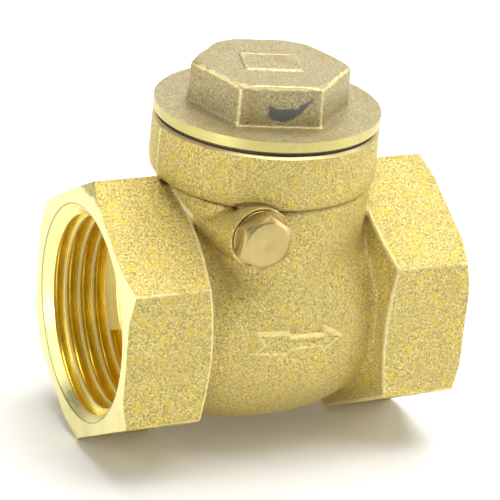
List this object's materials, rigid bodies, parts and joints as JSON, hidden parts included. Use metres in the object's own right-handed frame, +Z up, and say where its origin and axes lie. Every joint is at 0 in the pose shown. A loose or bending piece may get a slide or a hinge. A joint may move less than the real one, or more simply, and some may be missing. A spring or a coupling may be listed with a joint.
{
  "type": "swing check valve",
  "caption": "Brass swing check valve with hexagon female pipe ends, a screwed bonnet cap, a side hinge-pin plug and a rubber-faced clapper inside.",
  "frame": {"origin": "where the pipe axis and the bonnet axis cross, at the middle of the body", "axes": "+X along the pipe axis in the direction of flow, +Z up along the bonnet axis, the hinge pin runs along Y"},
  "size_m": [0.0576, 0.0395, 0.0614],
  "materials": {
    "forged_brass": "shot-blasted forging with machined ends and threads",
    "cap_brass": "dull forging with a turned rim",
    "turned_brass": "turned and milled",
    "cast_brass": "fine cast",
    "gasket_fibre": "dark compressed fibre",
    "copper_washer": "annealed copper",
    "pin_steel": "ground stainless",
    "seat_rubber": "moulded nitrile"
  },
  "bodies": {
    "valve": {"valve_body": "forged_brass"},
    "clapper_arm": {"swing_arm": "cast_brass"},
    "disc": {"disc_holder": "cast_brass", "seat_disc": "seat_rubber", "seat_disc_washer": "turned_brass", "seat_disc_screw": "turned_brass", "arm_washer": "turned_brass", "arm_nut": "turned_brass"},
    "pin": {"hinge_pin": "pin_steel"},
    "gasket": {"bonnet_gasket": "gasket_fibre"},
    "cap": {"bonnet_cap": "cap_brass"},
    "plug_seal": {"pin_plug_washer": "copper_washer"},
    "plug": {"pin_plug": "turned_brass"}
  },
  "joints": [
    {"name": "clapper_swing", "type": "hinge", "parent": "valve", "child": "clapper_arm", "pos_m": [-0.008, 0, 0.0182], "axis": [0, -1, 0], "range_deg": [0, 55]},
    {"name": "disc_spin", "type": "hinge", "parent": "clapper_arm", "child": "disc", "pos_m": [-0.0058, 0, 0], "axis": [1, 0, 0], "continuous": true},
    {"name": "pin_spin", "type": "hinge", "parent": "valve", "child": "pin", "pos_m": [-0.008, 0, 0.0182], "axis": [0, -1, 0], "continuous": true},
    {"name": "cap_lift", "type": "slide", "parent": "valve", "child": "gasket", "axis": [0, 0, 1], "range_m": [0, 0.0046]},
    {"name": "cap_turn", "type": "hinge", "parent": "gasket", "child": "cap", "pos_m": [0, 0, 0.031], "axis": [0, 0, 1], "range_deg": [0, 1080]},
    {"name": "plug_draw", "type": "slide", "parent": "valve", "child": "plug_seal", "axis": [0, -1, 0], "range_m": [0, 0.003]},
    {"name": "plug_turn", "type": "hinge", "parent": "plug_seal", "child": "plug", "pos_m": [-0.008, -0.018, 0.0182], "axis": [0, -1, 0], "range_deg": [0, 1080]}
  ],
  "couplings": [
    {"joint": "cap_lift", "follows": "cap_turn", "m_per_rad": 0.00023873},
    {"joint": "plug_turn", "follows": "plug_draw", "rad_per_m": 6283.2}
  ]
}
